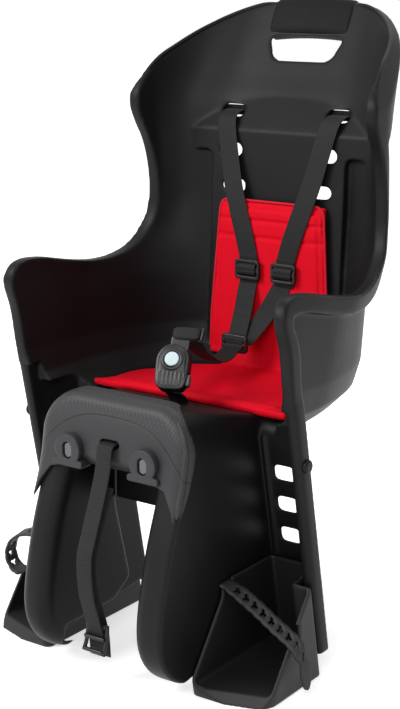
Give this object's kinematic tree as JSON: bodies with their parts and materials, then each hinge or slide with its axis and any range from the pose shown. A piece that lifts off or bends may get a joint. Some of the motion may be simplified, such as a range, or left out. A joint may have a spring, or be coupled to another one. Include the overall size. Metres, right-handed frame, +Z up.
{
  "type": "child bike seat",
  "caption": "Rear-mounted child bike seat: moulded bucket with head wings and leg guards, padded liner, shoulder harness with centre buckle, and height-adjustable footrests with straps.",
  "frame": {"origin": "centre of the carrier block's flat underside, where the seat stands on the bicycle's rear carrier", "axes": "+Z up, the child faces -Y, +X to the child's left when seated facing -Y; the seat is symmetric about X apart from the harness"},
  "size_m": [0.4128, 0.4647, 0.711],
  "materials": {
    "black_shell": "satin moulded",
    "footrest_plastic": "satin moulded",
    "grey_trim": "fine texture",
    "grip_rubber": "matt",
    "red_pad": "woven cover over thin foam",
    "black_webbing": "ribbed weave",
    "black_hardware": "satin",
    "pale_button": "gloss",
    "grey_tab": "satin",
    "bright_steel": "bright zinc"
  },
  "bodies": {
    "seat": {"arch_trim": "grey_trim", "buckle_body": "black_hardware", "buckle_tongue": "black_hardware", "button_spring": "bright_steel", "carrier_block": "black_shell", "crotch_stop": "black_shell", "crotch_strap": "black_webbing", "handle_grip": "grip_rubber", "harness_yoke": "black_hardware", "ladder_lock": "black_hardware", "lower_strap_left": "black_webbing", "lower_strap_right": "black_webbing", "pan_screws": "bright_steel", "rack_strap": "black_webbing", "rack_strap_end": "black_webbing", "rod_collar_left": "grey_trim", "rod_collar_right": "grey_trim", "seat_pad": "red_pad", "seat_shell": "black_shell", "shoulder_strap_left": "black_webbing", "shoulder_strap_right": "black_webbing", "side_cap_left": "black_shell", "side_cap_right": "black_shell", "strap_adjuster_left": "black_hardware", "strap_adjuster_right": "black_hardware", "strap_anchor": "black_shell", "strap_stop_left": "black_shell", "strap_stop_right": "black_shell", "support_rod_left": "bright_steel", "support_rod_right": "bright_steel", "yoke_strap": "black_webbing"},
    "footrest_left_body": {"footrest_left": "footrest_plastic", "foot_strap_left": "grip_rubber"},
    "footrest_right_body": {"footrest_right": "footrest_plastic", "foot_strap_right": "grip_rubber"},
    "button_body": {"buckle_button": "pale_button"},
    "tab_left_body": {"buckle_tab_left": "grey_tab"},
    "tab_right_body": {"buckle_tab_right": "grey_tab"}
  },
  "joints": [
    {"name": "footrest_left_slide", "type": "slide", "parent": "seat", "child": "footrest_left_body", "axis": [0, -0.2008, 0.9796], "range_m": [0, 0.0776]},
    {"name": "footrest_right_slide", "type": "slide", "parent": "seat", "child": "footrest_right_body", "axis": [0, -0.2008, 0.9796], "range_m": [0, 0.0776]},
    {"name": "buckle_button_press", "type": "slide", "parent": "seat", "child": "button_body", "axis": [-0.2999, 0.7998, -0.5199], "range_m": [0, 0.0025], "stiffness_N_per_m": 1200, "deforming": ["button_spring"]},
    {"name": "buckle_tab_right_press", "type": "slide", "parent": "seat", "child": "tab_right_body", "axis": [-0.9363, -0.3511, 0], "range_m": [0, 0.002], "stiffness_N_per_m": 1500},
    {"name": "buckle_tab_left_press", "type": "slide", "parent": "seat", "child": "tab_left_body", "axis": [0.9363, 0.3511, 0], "range_m": [0, 0.002], "stiffness_N_per_m": 1500}
  ]
}
